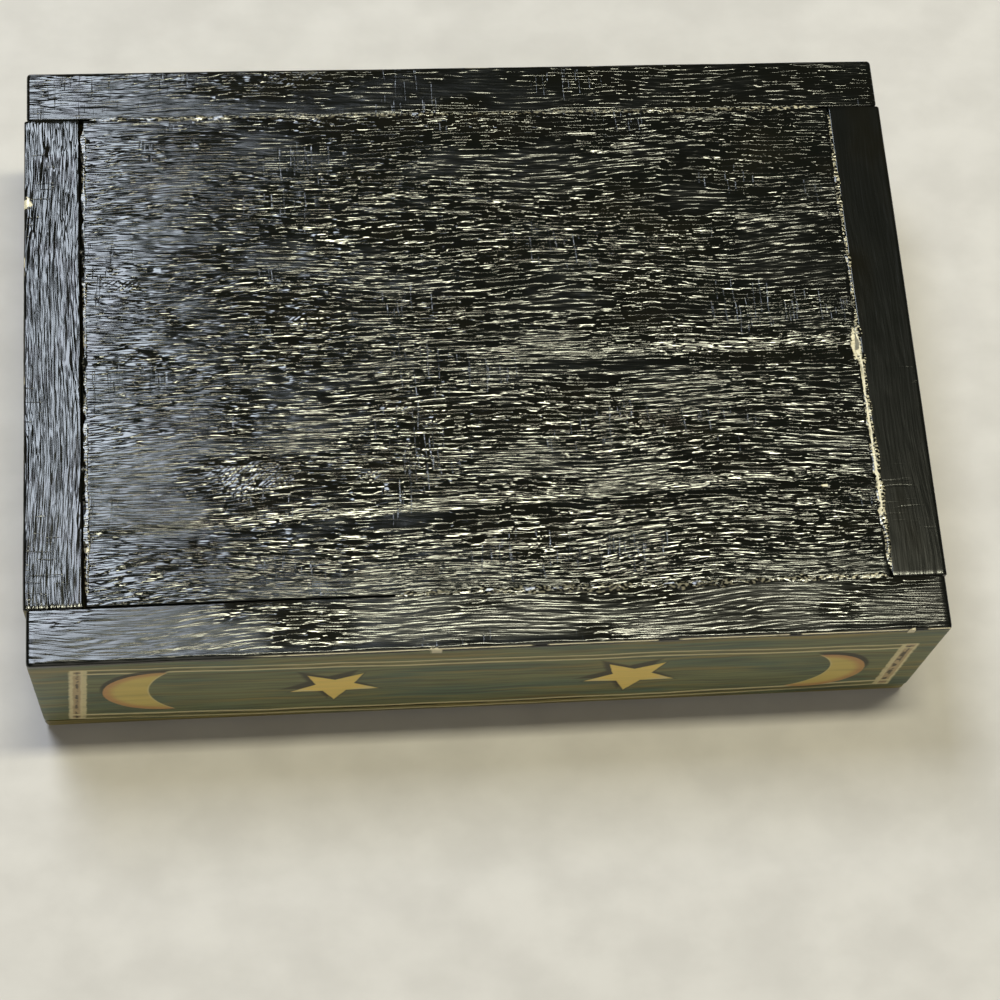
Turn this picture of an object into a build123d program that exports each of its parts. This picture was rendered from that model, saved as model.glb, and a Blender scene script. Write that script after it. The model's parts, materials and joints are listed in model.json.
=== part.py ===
from build123d import *
import os
from math import radians, tan

os.makedirs("parts", exist_ok=True)

# A hinged wooden box, turned over: the lid's outer face is on z = 0 and the base faces up.
# The origin is the centre of the lid's outer face, with +X to the right and +Y to the hinges.

# The walls and the base
BOX_LENGTH = 203.0
BOX_DEPTH = 146.0
WALL_HEIGHT = 41.7
WALL = 12.7
END_PROUD = 0.6
EDGE_ROUND = 0.8
PANEL_THICKNESS = 6.0
PANEL_GAP = 0.3
JOINT_GAP = 0.05

# The lid
LID_THICKNESS = 5.0
LID_ROUND = 2.0
LID_CORNER = 1.2
SEAM_GAP = 0.3

# The hinges, two brass butts let into the rear edges
HINGE_LENGTH = 25.0
HINGE_FROM_END = 41.5
HINGE_INSET = 2.0
LEAF_WIDTH = 9.0
LEAF_THICKNESS = 1.0
LEAF_FIT = 0.1
KNUCKLE_DIAMETER = 3.8
KNUCKLE_COUNT = 5
KNUCKLE_GAP = 0.2
BARREL_CLEARANCE = 0.3
PIN_DIAMETER = 1.6
PIN_CLEARANCE = 0.05
OPEN_ANGLE = 92.0
STOP_MARGIN = 1.0

# The hinge screws, countersunk and slotted
SCREW_DIAMETER = 1.6
SCREW_HEAD = 3.2
SCREW_LENGTH = 4.0
SCREW_TIP = 1.2
SCREW_SPACING = 15.0
SCREW_CLEARANCE = 0.05
SLOT_WIDTH = 0.45
SLOT_DEPTH = 0.35

# The panel pins that hold the walls and the base, sunk and filled over
NAIL_DIAMETER = 1.4
NAIL_HEAD = 2.2
NAIL_HEAD_THICKNESS = 0.5
NAIL_LENGTH = 25.0
NAIL_TIP = 2.0
NAIL_SINK = 1.2
NAIL_CLEARANCE = 0.03
NAIL_TIP_ROOM = 0.3
CORNER_NAIL_SPACING = 22.0
PANEL_NAIL_INSET = 33.4
LONG_SIDE_NAIL_COUNT = 3
SHORT_SIDE_NAIL_COUNT = 2

# Levels and places that follow from the sizes above
SEAM_BASE = LID_THICKNESS
SEAM_TOP = LID_THICKNESS + SEAM_GAP
BASE_LEVEL = SEAM_TOP + WALL_HEIGHT
FRONT = -BOX_DEPTH / 2
BACK = BOX_DEPTH / 2
END_OUTSIDE = BOX_LENGTH / 2 + END_PROUD
END_INSIDE = END_OUTSIDE - WALL
INNER_DEPTH = BOX_DEPTH - 2 * WALL
END_WALL_LENGTH = INNER_DEPTH - 2 * JOINT_GAP
PANEL_LENGTH = 2 * (END_INSIDE - PANEL_GAP)
PANEL_DEPTH = INNER_DEPTH - 2 * PANEL_GAP
PANEL_MIDDLE = BASE_LEVEL - PANEL_THICKNESS / 2
HINGE_Y = BACK - HINGE_INSET
HINGE_Z = LID_THICKNESS + SEAM_GAP / 2
STOP_BEVEL = radians((OPEN_ANGLE + STOP_MARGIN) / 2)
BEVEL_HEIGHT = HINGE_INSET * tan(STOP_BEVEL)
BEVEL_START = HINGE_Y + SEAM_GAP / 2 / tan(STOP_BEVEL)
BARREL_ROOM = KNUCKLE_DIAMETER / 2 + BARREL_CLEARANCE
KNUCKLE_PITCH = HINGE_LENGTH / KNUCKLE_COUNT
LEAF_EDGE = HINGE_Y - LEAF_WIDTH
LEAF_FRONT = HINGE_Y - BARREL_ROOM
SCREW_LINE = (LEAF_EDGE + LEAF_FRONT) / 2
WALL_MIDDLE = SEAM_TOP + WALL_HEIGHT / 2
HINGE_CENTRES = {"left": HINGE_FROM_END - BOX_LENGTH / 2, "right": BOX_LENGTH / 2 - HINGE_FROM_END}


# Panel pins

def nail_profile(clearance, tip_room):
    """A pin's half outline about its own axis: head at the origin, tip along +Z."""
    head = NAIL_HEAD / 2 + clearance
    shank = NAIL_DIAMETER / 2 + clearance
    length = NAIL_LENGTH + tip_room
    neck = NAIL_HEAD_THICKNESS
    return [(0, 0), (head, 0), (head, neck), (shank, neck), (shank, length - NAIL_TIP), (0, length)]


def turned(profile):
    """A solid turned from a half outline about +Z."""
    with BuildPart() as body:
        with BuildSketch(Plane.XZ):
            with BuildLine():
                Polyline(*profile, close=True)
            make_face()
        revolve(axis=Axis.Z)
    return body.part


def wall_places(points, inward):
    """Planes at the sunk pin heads of one wall: each looks inward, along the pin."""
    return [Plane(origin=Vector(*point) + Vector(*inward) * NAIL_SINK, z_dir=inward) for point in points]


def spaced(count, pitch):
    """Places along a line, evenly spaced about its middle."""
    return [(index - (count - 1) / 2) * pitch for index in range(count)]


CORNER_X = (END_INSIDE + BOX_LENGTH / 2) / 2
CORNER_NAILS = [
    (side * CORNER_X, WALL_MIDDLE + height) for side in (-1, 1) for height in spaced(2, CORNER_NAIL_SPACING)
]
LONG_NAIL_PITCH = 2 * (END_INSIDE - PANEL_NAIL_INSET) / (LONG_SIDE_NAIL_COUNT - 1)
SHORT_NAIL_PITCH = (INNER_DEPTH - 2 * PANEL_NAIL_INSET) / (SHORT_SIDE_NAIL_COUNT - 1)
LONG_NAILS = spaced(LONG_SIDE_NAIL_COUNT, LONG_NAIL_PITCH)
SHORT_NAILS = spaced(SHORT_SIDE_NAIL_COUNT, SHORT_NAIL_PITCH)

NAIL_PLACES = {
    "front_corner_nails": wall_places([(x, FRONT, z) for x, z in CORNER_NAILS], (0, 1, 0)),
    "back_corner_nails": wall_places([(x, BACK, z) for x, z in CORNER_NAILS], (0, -1, 0)),
    "front_panel_nails": wall_places([(x, FRONT, PANEL_MIDDLE) for x in LONG_NAILS], (0, 1, 0)),
    "back_panel_nails": wall_places([(x, BACK, PANEL_MIDDLE) for x in LONG_NAILS], (0, -1, 0)),
    "left_panel_nails": wall_places([(-END_OUTSIDE, y, PANEL_MIDDLE) for y in SHORT_NAILS], (1, 0, 0)),
    "right_panel_nails": wall_places([(END_OUTSIDE, y, PANEL_MIDDLE) for y in SHORT_NAILS], (-1, 0, 0)),
}

nail = turned(nail_profile(0, 0))
nail_hole = turned(nail_profile(NAIL_CLEARANCE, NAIL_TIP_ROOM))

for group, places in NAIL_PLACES.items():
    with BuildPart() as nails:
        with Locations(*places):
            add(nail)
    nails.part.label = group
    export_step(nails.part, f"parts/{group}.step")


def drive_nails(*groups):
    """Cuts the holes of the named pin groups in the part being built."""
    for group in groups:
        with Locations(*NAIL_PLACES[group]):
            add(nail_hole, mode=Mode.SUBTRACT)


# Hinge recesses

def cut_hinge_room(rim, into):
    """Cuts both hinges' mortises and barrel hollows; rim is the rim's height, into is +1 up or -1 down."""
    mortise_depth = LEAF_WIDTH + LEAF_FIT
    for centre in HINGE_CENTRES.values():
        with BuildSketch(Plane.XY.offset(rim)) as mortise:
            with Locations((centre, HINGE_Y - mortise_depth / 2)):
                Rectangle(HINGE_LENGTH + 2 * LEAF_FIT, mortise_depth)
        extrude(mortise.sketch, amount=into * LEAF_THICKNESS, mode=Mode.SUBTRACT)
        with BuildSketch(Plane.YZ.offset(centre)) as barrel_hollow:
            with Locations((HINGE_Y, HINGE_Z)):
                Circle(BARREL_ROOM)
        extrude(barrel_hollow.sketch, amount=HINGE_LENGTH / 2 + LEAF_FIT, both=True, mode=Mode.SUBTRACT)


def drill_screws(level, into):
    """Drills the pilot holes of both hinges' screws from the mortise floor."""
    bore = SCREW_DIAMETER / 2 + SCREW_CLEARANCE
    depth = SCREW_LENGTH + SCREW_CLEARANCE
    for centre in HINGE_CENTRES.values():
        with BuildSketch(Plane.XY.offset(level)) as pilots:
            with Locations(*[(centre + x, SCREW_LINE) for x in spaced(2, SCREW_SPACING)]):
                Circle(bore)
        extrude(pilots.sketch, amount=into * depth, mode=Mode.SUBTRACT)


# The four walls

with BuildPart() as front_wall:
    with BuildSketch(Plane.XY.offset(SEAM_TOP)):
        with Locations((0, FRONT + WALL / 2)):
            Rectangle(BOX_LENGTH, WALL)
    extrude(amount=WALL_HEIGHT)
    front_face = front_wall.faces().sort_by(Axis.Y)[0]
    rim_ends = front_wall.edges().filter_by(Axis.Y).group_by(Axis.Z)[-1]
    fillet(front_face.edges().sort_by(Axis.Z)[1:] + rim_ends, EDGE_ROUND)
    drive_nails("front_corner_nails", "front_panel_nails")
front_wall.part.label = "front_wall"
export_step(front_wall.part, "parts/front_wall.step")

with BuildPart() as back_wall:
    with BuildSketch(Plane.YZ.offset(-BOX_LENGTH / 2)):
        with BuildLine():
            Polyline(
                (BACK - WALL, SEAM_TOP),
                (BEVEL_START, SEAM_TOP),
                (BACK, HINGE_Z + BEVEL_HEIGHT),
                (BACK, BASE_LEVEL),
                (BACK - WALL, BASE_LEVEL),
                close=True,
            )
        make_face()
    extrude(amount=BOX_LENGTH)
    back_face = back_wall.faces().sort_by(Axis.Y)[-1]
    rim_ends = back_wall.edges().filter_by(Axis.Y).group_by(Axis.Z)[-1]
    fillet(back_face.edges().sort_by(Axis.Z)[1:] + rim_ends, EDGE_ROUND)
    cut_hinge_room(SEAM_TOP, 1)
    drill_screws(SEAM_TOP, 1)
    drive_nails("back_corner_nails", "back_panel_nails")
back_wall.part.label = "back_wall"
export_step(back_wall.part, "parts/back_wall.step")

for side, direction in {"left": -1, "right": 1}.items():
    with BuildPart() as end_wall:
        with BuildSketch(Plane.XY.offset(SEAM_TOP)):
            with Locations((direction * (END_OUTSIDE - WALL / 2), 0)):
                Rectangle(WALL, END_WALL_LENGTH)
        extrude(amount=WALL_HEIGHT)
        outer_face = end_wall.faces().sort_by(Axis.X)[0 if direction < 0 else -1]
        fillet(outer_face.edges().sort_by(Axis.Z)[1:], EDGE_ROUND / 2)
        drive_nails("front_corner_nails", "back_corner_nails", f"{side}_panel_nails")
    end_wall.part.label = f"{side}_end_wall"
    export_step(end_wall.part, f"parts/{side}_end_wall.step")

# The base panel, let in flush between the walls
with BuildPart() as bottom_panel:
    with BuildSketch(Plane.XY.offset(BASE_LEVEL - PANEL_THICKNESS)):
        Rectangle(PANEL_LENGTH, PANEL_DEPTH)
    extrude(amount=PANEL_THICKNESS)
    drive_nails("front_panel_nails", "back_panel_nails", "left_panel_nails", "right_panel_nails")
bottom_panel.part.label = "bottom_panel"
export_step(bottom_panel.part, "parts/bottom_panel.step")

# The lid, one board with a rounded outer edge and the stop bevel along its rear edge
with BuildPart() as lid_board:
    with BuildSketch(Plane.YZ.offset(-BOX_LENGTH / 2)):
        with BuildLine():
            Polyline(
                (FRONT, 0),
                (BACK, 0),
                (BACK, HINGE_Z - BEVEL_HEIGHT),
                (BEVEL_START, SEAM_BASE),
                (FRONT, SEAM_BASE),
                close=True,
            )
        make_face()
    extrude(amount=BOX_LENGTH)
    fillet(lid_board.edges().filter_by(Axis.Z), LID_CORNER)
    fillet(lid_board.faces().sort_by(Axis.Z)[0].edges(), LID_ROUND)
    cut_hinge_room(SEAM_BASE, -1)
    drill_screws(SEAM_BASE, -1)
lid_board.part.label = "lid_board"
export_step(lid_board.part, "parts/lid_board.step")


# Hinge leaves, pins and screws

def screw_profile():
    """A countersunk screw's half outline: head face at the origin, tip along +Z."""
    head = SCREW_HEAD / 2
    shank = SCREW_DIAMETER / 2
    return [
        (0, 0),
        (head, 0),
        (shank, head - shank),
        (shank, SCREW_LENGTH - SCREW_TIP),
        (0, SCREW_LENGTH),
    ]


with BuildPart() as screw_body:
    add(turned(screw_profile()))
    with BuildSketch(Plane.XY):
        Rectangle(SCREW_HEAD, SLOT_WIDTH)
    extrude(amount=SLOT_DEPTH, mode=Mode.SUBTRACT)
screw = screw_body.part


def hinge_leaf(centre, rim, into, owned):
    """A leaf flush with its rim; owned lists the knuckles that belong to it."""
    with BuildPart() as leaf:
        with BuildSketch(Plane.XY.offset(rim)):
            with Locations((centre, (LEAF_EDGE + LEAF_FRONT) / 2)):
                Rectangle(HINGE_LENGTH, LEAF_FRONT - LEAF_EDGE)
            for index in owned:
                knuckle_x = centre - HINGE_LENGTH / 2 + (index + 0.5) * KNUCKLE_PITCH
                with Locations((knuckle_x, (LEAF_FRONT + HINGE_Y) / 2)):
                    Rectangle(KNUCKLE_PITCH - KNUCKLE_GAP, HINGE_Y - LEAF_FRONT)
        extrude(amount=into * LEAF_THICKNESS)
        for index in owned:
            knuckle_x = centre - HINGE_LENGTH / 2 + (index + 0.5) * KNUCKLE_PITCH
            with BuildSketch(Plane.YZ.offset(knuckle_x)):
                with Locations((HINGE_Y, HINGE_Z)):
                    Circle(KNUCKLE_DIAMETER / 2)
            extrude(amount=(KNUCKLE_PITCH - KNUCKLE_GAP) / 2, both=True)
        with BuildSketch(Plane.YZ.offset(centre)):
            with Locations((HINGE_Y, HINGE_Z)):
                Circle(PIN_DIAMETER / 2 + PIN_CLEARANCE)
        extrude(amount=HINGE_LENGTH, both=True, mode=Mode.SUBTRACT)
        face_side = Vector(0, 0, -into)
        with Locations(
            *[Plane((centre + x, SCREW_LINE, rim), z_dir=face_side) for x in spaced(2, SCREW_SPACING)]
        ):
            CounterSinkHole(
                radius=SCREW_DIAMETER / 2 + SCREW_CLEARANCE,
                counter_sink_radius=SCREW_HEAD / 2 + SCREW_CLEARANCE,
                depth=LEAF_THICKNESS,
                counter_sink_angle=90,
            )
    return leaf.part


def hinge_screws(centre, rim, into):
    """The two screws of one leaf."""
    with BuildPart() as screws:
        with Locations(
            *[Plane((centre + x, SCREW_LINE, rim), z_dir=(0, 0, into)) for x in spaced(2, SCREW_SPACING)]
        ):
            add(screw)
    return screws.part


box_knuckles = range(0, KNUCKLE_COUNT, 2)
lid_knuckles = range(1, KNUCKLE_COUNT, 2)

for side, centre in HINGE_CENTRES.items():
    with BuildPart() as pin:
        with BuildSketch(Plane.YZ.offset(centre)):
            with Locations((HINGE_Y, HINGE_Z)):
                Circle(PIN_DIAMETER / 2)
        extrude(amount=HINGE_LENGTH / 2, both=True)
    pieces = {
        f"{side}_hinge_box_leaf": hinge_leaf(centre, SEAM_TOP, 1, box_knuckles),
        f"{side}_hinge_lid_leaf": hinge_leaf(centre, SEAM_BASE, -1, lid_knuckles),
        f"{side}_hinge_pin": pin.part,
        f"{side}_hinge_box_screws": hinge_screws(centre, SEAM_TOP, 1),
        f"{side}_hinge_lid_screws": hinge_screws(centre, SEAM_BASE, -1),
    }
    for name, piece in pieces.items():
        piece.label = name
        export_step(piece, f"parts/{name}.step")
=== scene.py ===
"""Dresses a small hinged wooden box that stands turned over: black base, painted walls, brass hinges."""
import json
from math import cos, pi, radians, sin, tan

import bmesh
import bpy
import numpy as np
from mathutils import Matrix, Vector


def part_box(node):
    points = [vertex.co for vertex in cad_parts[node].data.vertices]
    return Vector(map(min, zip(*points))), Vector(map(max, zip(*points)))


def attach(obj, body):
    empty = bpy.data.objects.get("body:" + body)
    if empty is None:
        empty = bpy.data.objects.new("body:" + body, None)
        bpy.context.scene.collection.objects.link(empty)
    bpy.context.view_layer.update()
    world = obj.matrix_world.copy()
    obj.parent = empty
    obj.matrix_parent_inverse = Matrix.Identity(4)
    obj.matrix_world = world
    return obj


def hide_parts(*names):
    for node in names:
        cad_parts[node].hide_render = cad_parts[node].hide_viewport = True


bl_info = {
    "name": "Turned-over Keepsake Box",
    "version": (1, 0, 0),
    "blender": (4, 5, 0),
    "location": "View3D > Sidebar > Keepsake Box",
    "description": "Builds the painted surfaces, materials, stage and camera of a hinged wooden box",
    "category": "Object",
}

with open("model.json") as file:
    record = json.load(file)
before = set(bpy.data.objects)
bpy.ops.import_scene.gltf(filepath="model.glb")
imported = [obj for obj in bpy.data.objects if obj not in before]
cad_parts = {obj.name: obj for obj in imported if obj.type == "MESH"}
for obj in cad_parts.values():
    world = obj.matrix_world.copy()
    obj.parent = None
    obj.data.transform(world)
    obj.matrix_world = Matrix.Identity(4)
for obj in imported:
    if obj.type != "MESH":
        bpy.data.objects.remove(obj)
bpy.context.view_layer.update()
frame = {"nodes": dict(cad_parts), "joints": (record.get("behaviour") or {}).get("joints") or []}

# Sizes read from the frame, in millimetres
PER_METRE = 1000.0


def box_mm(node):
    """A node's lowest and highest corners in millimetres."""
    low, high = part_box(node)
    return np.array(low) * PER_METRE, np.array(high) * PER_METRE


FRONT_LOW, FRONT_HIGH = box_mm("front_wall")
BACK_HIGH = box_mm("back_wall")[1]
RIGHT_LOW, RIGHT_HIGH = box_mm("right_end_wall")
PANEL_LOW, PANEL_HIGH = box_mm("bottom_panel")
LID_TOP = box_mm("lid_board")[1][2]
SEAM = FRONT_LOW[2]
BASE = FRONT_HIGH[2]
HEIGHT = BASE - SEAM
FRONT = FRONT_LOW[1]
BACK = BACK_HIGH[1]
WALL = FRONT_HIGH[1] - FRONT
LENGTH = FRONT_HIGH[0] - FRONT_LOW[0]
DEPTH = BACK - FRONT
END_OUTSIDE = RIGHT_HIGH[0]
END_LENGTH = RIGHT_HIGH[1] - RIGHT_LOW[1]
HINGE_Y, HINGE_Z = np.array(frame["joints"][0]["pos_m"][1:]) * PER_METRE
HINGE_INSET = BACK - HINGE_Y
SIDES = ("left", "right")

# Hinge seats in the back wall
LEAF_THICKNESS = 1.0
SEAT_FIT = 0.1
BARREL_ROOM = 2.2
STOP_BEVEL = radians(46.5)

# Steps of the modelled surfaces
FINE_STEP = 0.29
LONG_STEP = 0.95
PLAIN_STEP = 3.0
FACE_STEP = 0.7
ROUND_STEPS = 6
UNDER_STEPS = 51


# Colour helpers

def srgb(red, green, blue):
    """A display colour of 0 to 255 as the linear values that shaders use."""
    parts = []
    for value in (red, green, blue):
        share = value / 255
        parts.append(share / 12.92 if share <= 0.04045 else ((share + 0.055) / 1.055) ** 2.4)
    return tuple(parts)


def colour(name, description, red, green, blue):
    """A colour property whose default is given as a display colour."""
    default = srgb(red, green, blue)
    return bpy.props.FloatVectorProperty(
        name=name, description=description, subtype="COLOR", size=3, min=0, max=1, default=default
    )


def length(name, description, millimetres):
    """A length property, given in millimetres and kept in metres."""
    default = millimetres / PER_METRE
    return bpy.props.FloatProperty(
        name=name, description=description, unit="LENGTH", min=0, default=default, precision=5
    )


class KeepsakePaints(bpy.types.PropertyGroup):
    """Colours of the paints, the bare wood and the metal."""

    black: colour("Black", "Paint of the base and the rim", 10, 11, 7)
    black_brown: colour("Brown-black", "Thin places of the black paint", 22, 20, 12)
    green: colour("Green", "Ground colour of the walls", 120, 126, 84)
    teal: colour("Teal", "Cooler strokes of the ground", 90, 110, 86)
    olive: colour("Olive", "Warm strokes of the ground", 148, 134, 74)
    gold: colour("Gold", "Stars", 248, 214, 114)
    moon: colour("Moon", "Crescents", 216, 192, 106)
    blush: colour("Blush", "Outer side of the crescents", 188, 124, 84)
    cream: colour("Cream", "Border lines and bright edges", 226, 212, 164)
    dark: colour("Brown", "Painted shadows and border dashes", 40, 32, 18)
    # Primer also colours the pale line along the walls' outer edges, partly worn paint and partly a painted
    # highlight
    primer: colour("Primer", "Chips through the black paint", 222, 210, 178)
    wood: colour("Wood", "Bare wood inside", 176, 132, 86)
    wood_dark: colour("Grain", "Grain lines of the bare wood", 122, 80, 46)
    brass: colour("Brass", "Hinge metal", 196, 158, 92)


class KeepsakeSizes(bpy.types.PropertyGroup):
    """Sizes of the surface detail."""

    ridge_height: length("Brush ridge", "Height of the ridges that the brush left", 0.07)
    pore_depth: length("Pore depth", "Depth of the open grain under the paint", 0.16)
    swell_height: length("Swell", "Slow unevenness of the boards", 0.09)
    edge_round: length("Edge", "Radius of the walls' worn edges", 0.8)
    joint_round: length("Joint edge", "Radius of the edges along the joints", 0.35)
    left_gap: length("Left gap", "Extra width of the open joint left of the panel", 0.45)
    crust_height: length("Crust", "Height of the dried paint along the panel joints", 0.75)
    lens: length("Lens", "Focal length of the camera", 85.0)


# Shader building

class Wire:
    """The value of a node socket; sums on it add Math nodes to its material."""

    def __init__(self, paint, socket):
        self.paint = paint
        self.socket = socket

    def __add__(self, other):
        return self.paint.math("ADD", self, other)

    def __sub__(self, other):
        return self.paint.math("SUBTRACT", self, other)

    def __rsub__(self, other):
        return self.paint.math("SUBTRACT", other, self)

    def __mul__(self, other):
        return self.paint.math("MULTIPLY", self, other)

    def __truediv__(self, other):
        return self.paint.math("DIVIDE", self, other)

    def __rtruediv__(self, other):
        return self.paint.math("DIVIDE", other, self)

    def __abs__(self):
        return self.paint.math("ABSOLUTE", self)

    __radd__ = __add__
    __rmul__ = __mul__


class Paint:
    """One node material, read in millimetres of Object coordinates."""

    def __init__(self, name):
        self.material = bpy.data.materials.new(name)
        self.material.use_nodes = True
        self.tree = self.material.node_tree
        self.tree.nodes.clear()
        place = self.node("ShaderNodeTexCoord", output="Object")
        scaled = self.node("ShaderNodeVectorMath", {"operation": "SCALE"}, {0: place, "Scale": PER_METRE})
        parts = self.tree.nodes.new("ShaderNodeSeparateXYZ")
        self.link(scaled, parts.inputs[0])
        self.x, self.y, self.z = (Wire(self, socket) for socket in parts.outputs)

    def link(self, value, socket):
        """Puts a wire, a number or a colour on a socket."""
        if isinstance(value, Wire):
            self.tree.links.new(value.socket, socket)
        elif isinstance(value, (int, float)):
            socket.default_value = value
        else:
            value = tuple(value)
            wanted = len(socket.default_value)
            socket.default_value = value if len(value) == wanted else value + (1.0,)

    def node(self, kind, settings=None, inputs=None, output=0):
        """Adds a node, sets it up, fills its sockets and returns one of its outputs."""
        node = self.tree.nodes.new(kind)
        for key, value in (settings or {}).items():
            setattr(node, key, value)
        for key, value in (inputs or {}).items():
            self.link(value, node.inputs[key])
        return Wire(self, node.outputs[output])

    def math(self, operation, *values):
        """A Math node on one to three values."""
        return self.node("ShaderNodeMath", {"operation": operation}, dict(enumerate(values)))

    def least(self, first, second):
        """The smaller of two values."""
        return self.math("MINIMUM", first, second)

    def most(self, first, second):
        """The larger of two values."""
        return self.math("MAXIMUM", first, second)

    def step(self, value, low, high):
        """A smooth step: 0 where value is low, 1 where it is high."""
        sockets = {"Value": value, "From Min": low, "From Max": high}
        return self.node("ShaderNodeMapRange", {"interpolation_type": "SMOOTHSTEP"}, sockets)

    def mix(self, share, first, second):
        """first where share is 0, second where it is 1, as colours."""
        sockets = {0: share, 6: first, 7: second}
        return self.node("ShaderNodeMix", {"data_type": "RGBA"}, sockets, output=2)

    def noise(self, u, v, length_u, length_v, seed, detail=2.0):
        """Noise of about 0 to 1 whose grains are length_u by length_v millimetres."""
        parts = {0: u / length_u, 1: v / length_v, 2: float(seed)}
        place = self.node("ShaderNodeCombineXYZ", None, parts)
        sockets = {"Vector": place, "Scale": 1.0, "Detail": detail}
        return self.node("ShaderNodeTexNoise", {"noise_dimensions": "3D"}, sockets)

    def blend(self, share, first, second):
        """Two finishes, each a colour, a roughness and a height, blended: second shows where share is 1."""
        tone = self.mix(share, first[0], second[0])
        roughness = first[1] + (second[1] - first[1]) * share
        height = first[2] + (second[2] - first[2]) * share
        return tone, roughness, height

    def finish(self, colour_value, roughness, height=None, metallic=0.0, glow=None):
        """Ends the material in a Principled shader; height is in millimetres and glow a colour."""
        sockets = {"Base Color": colour_value, "Roughness": roughness, "Metallic": metallic}
        if glow is not None:
            sockets.update({"Emission Color": glow, "Emission Strength": 1.0})
        if height is not None:
            bump = {"Strength": 1.0, "Distance": 1 / PER_METRE, "Height": height}
            sockets["Normal"] = self.node("ShaderNodeBump", None, bump)
        shader = self.node("ShaderNodeBsdfPrincipled", None, sockets)
        output = self.tree.nodes.new("ShaderNodeOutputMaterial")
        self.link(shader, output.inputs["Surface"])
        return self.material


# Finishes

# Thickness of the paints and depth of the chips in millimetres, and the roughness of the walls' paint
ART_THICKNESS = 0.05
LINE_THICKNESS = 0.06
BLACK_THICKNESS = 0.12
WALL_CHIP_DEPTH = 0.12
BASE_CHIP_DEPTH = 0.1
ART_ROUGHNESS = 0.5
CHIP_ROUGHNESS = 0.25

# Chips through the black paint: centre and half widths along X and Y, in millimetres
CHIPS = (
    (88.3, -3.0, 1.1, 4.4),
    # The narrow chips along the right joint, near X 89, run together into a pale line: partly bare primer,
    # partly a painted highlight along that joint
    (88.9, -11.0, 0.35, 6.5),
    (88.9, -23.0, 0.3, 8.0),
    (89.0, -36.0, 0.35, 9.0),
    (88.6, -44.5, 0.45, 1.0),
    (-88.6, -47.0, 0.8, 0.7),
    (-101.4, 38.5, 1.3, 1.5),
    (-13.7, -73.0, 1.3, 0.7),
    (92.4, -73.0, 1.0, 0.5),
    (-82.0, 73.2, 4.6, 0.4),
    (32.0, 73.0, 0.6, 0.5),
    (76.8, -37.8, 0.8, 0.35),
)


def chips(paint):
    """Mask of the chips, which are ragged ellipses; along the right joint they run into a line that is partly
    a painted highlight.
    """
    ragged = paint.noise(paint.x, paint.y, 0.7, 0.7, 3.0) - 0.5
    found = 0.0
    for centre_x, centre_y, half_x, half_y in CHIPS:
        across = (paint.x - centre_x) / half_x
        along = (paint.y - centre_y) / half_y
        inside = 1.0 - paint.math("SQRT", across * across + along * along) + ragged * 1.6
        found = paint.most(paint.step(inside, 0.0, 0.25), found)
    return found


# Grain of the black coat, each as millimetres along and across the brush
SWAY_GRAIN = (40.0, 20.0)
PATCH_GRAIN = (30.0, 13.0)
LENS_GRAIN = (7.5, 0.85)
PIT_GRAIN = (5.5, 0.7)
HAIR_GRAIN = (11.0, 0.62)
CROSSING_GRAIN = (12.0, 0.8)
CRACK_GRAIN = (0.8, 11.0)
CRACKED_GRAIN = (26.0, 15.0)
SHEEN_GRAIN = (9.0, 5.0)

# How far its strokes sway and how high they stand, in millimetres; calm places have higher hairs
SWAY_REACH = 6.0
LENS_HEIGHT = 0.2
PIT_DEPTH = 0.1
HAIR_HEIGHT = 0.09
CALM_HAIR_HEIGHT = 0.13
CROSSING_HEIGHT = 0.14
CRACK_DEPTH = 0.06

# Its least roughness, and what patches of sheen, calm places and sleek boards add to it
GLOSS_ROUGHNESS = 0.04
SHEEN_ROUGHNESS = 0.06
CALM_ROUGHNESS = 0.12
SLEEK_ROUGHNESS = 0.03


def black_coat(paint, along, across, seed, texture=1.0, sleek=0.0):
    """Black paint brushed along the grain: its colour, roughness and fine height in millimetres.

    texture scales all the height; sleek leaves fewer of the short lens-shaped dashes among the hairs.
    """
    paints = bpy.context.scene.keepsake_paints
    sway = (paint.noise(along, across, *SWAY_GRAIN, seed, 0.0) - 0.5) * SWAY_REACH
    swayed = across + sway
    patches = paint.noise(along, across, *PATCH_GRAIN, seed + 4.0)
    busy = paint.step(patches - sleek * 0.2, 0.36, 0.56)
    calm = 1.0 - busy
    lenses = paint.noise(along, swayed, *LENS_GRAIN, seed + 1.0, 1.0)
    pits = paint.noise(along, across + sway * 0.6, *PIT_GRAIN, seed + 2.0, 0.0)
    pits = paint.step(pits, 0.46, 0.62)
    hairs = paint.noise(along, swayed, *HAIR_GRAIN, seed + 3.0, 1.0)
    slanted = (along + across * 0.8, across - along * 0.8)
    crossing = paint.noise(*slanted, *CROSSING_GRAIN, seed + 5.0, 0.0)
    crossed = paint.step(patches, 0.62, 0.7)
    cracks = paint.noise(along + sway * 0.3, across, *CRACK_GRAIN, seed + 7.0, 1.0)
    cracks = paint.step(cracks, 0.6, 0.7)
    cracked = paint.step(paint.noise(along, across, *CRACKED_GRAIN, seed + 8.0, 0.0), 0.58, 0.7)
    height = (lenses * LENS_HEIGHT - pits * PIT_DEPTH) * (0.25 + busy * 0.75)
    height = height + hairs * (HAIR_HEIGHT + calm * CALM_HAIR_HEIGHT)
    height = height + crossing * crossed * CROSSING_HEIGHT - cracks * cracked * CRACK_DEPTH
    tone = paint.mix(paint.step(patches, 0.45, 0.8), paints.black, paints.black_brown)
    sheen = paint.noise(along, across, *SHEEN_GRAIN, seed + 6.0, 1.0)
    roughness = GLOSS_ROUGHNESS + sheen * SHEEN_ROUGHNESS + calm * CALM_ROUGHNESS + sleek * SLEEK_ROUGHNESS
    return tone, roughness, height * texture


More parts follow.
